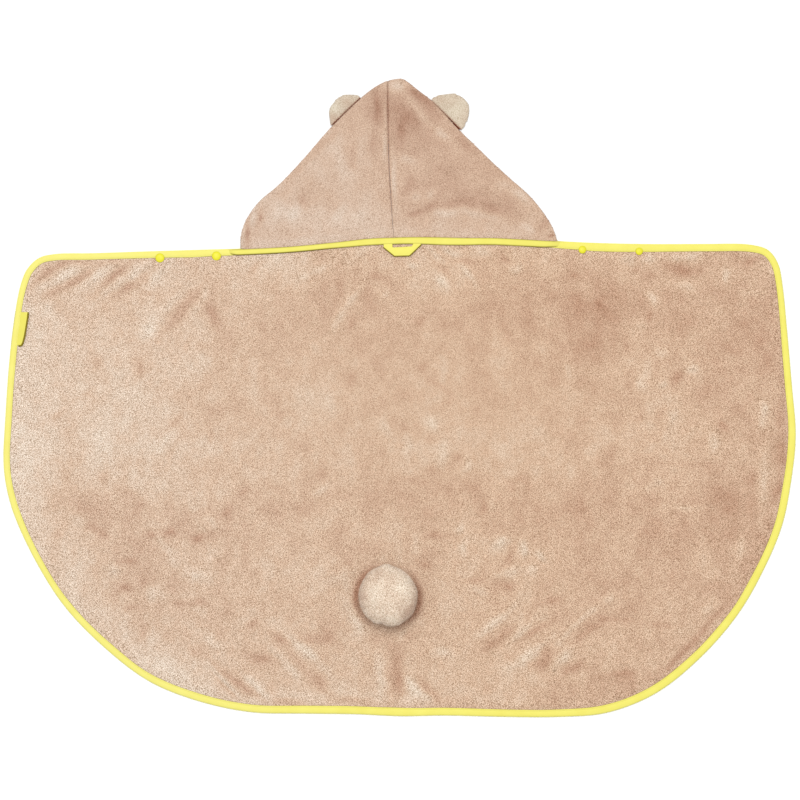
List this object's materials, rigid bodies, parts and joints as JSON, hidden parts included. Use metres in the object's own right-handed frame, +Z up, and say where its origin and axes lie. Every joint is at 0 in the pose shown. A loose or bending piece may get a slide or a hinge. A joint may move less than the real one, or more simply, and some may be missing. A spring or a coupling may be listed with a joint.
{
  "type": "hooded bath poncho",
  "caption": "Child's hooded bath poncho laid flat, back up: D-shaped plush cape with a bound edge, a gabled hood with round ears, a hanging loop, press studs, a side label and a ball tail.",
  "frame": {"origin": "on the surface that it lies on, at the middle of the outline's box", "axes": "+Z up from the surface, +Y from the hem towards the tip of the hood, +X to the right seen from above"},
  "size_m": [1.2, 0.9673, 0.0663],
  "materials": {
    "plush": "short brushed pile",
    "pale_plush": "short brushed pile",
    "tape": "smooth woven tape",
    "stud": "glossy moulded plastic"
  },
  "bodies": {
    "root": {"cape_panel": "plush", "edge_binding": "tape", "hood_left": "plush", "hood_right": "plush", "ear_left": "pale_plush", "ear_right": "pale_plush", "neck_binding": "tape", "hanging_loop": "tape", "side_label": "tape", "snap_left_outer": "stud", "snap_left_inner": "stud", "snap_right_inner": "stud", "snap_right_outer": "stud", "tail": "pale_plush"}
  },
  "joints": []
}
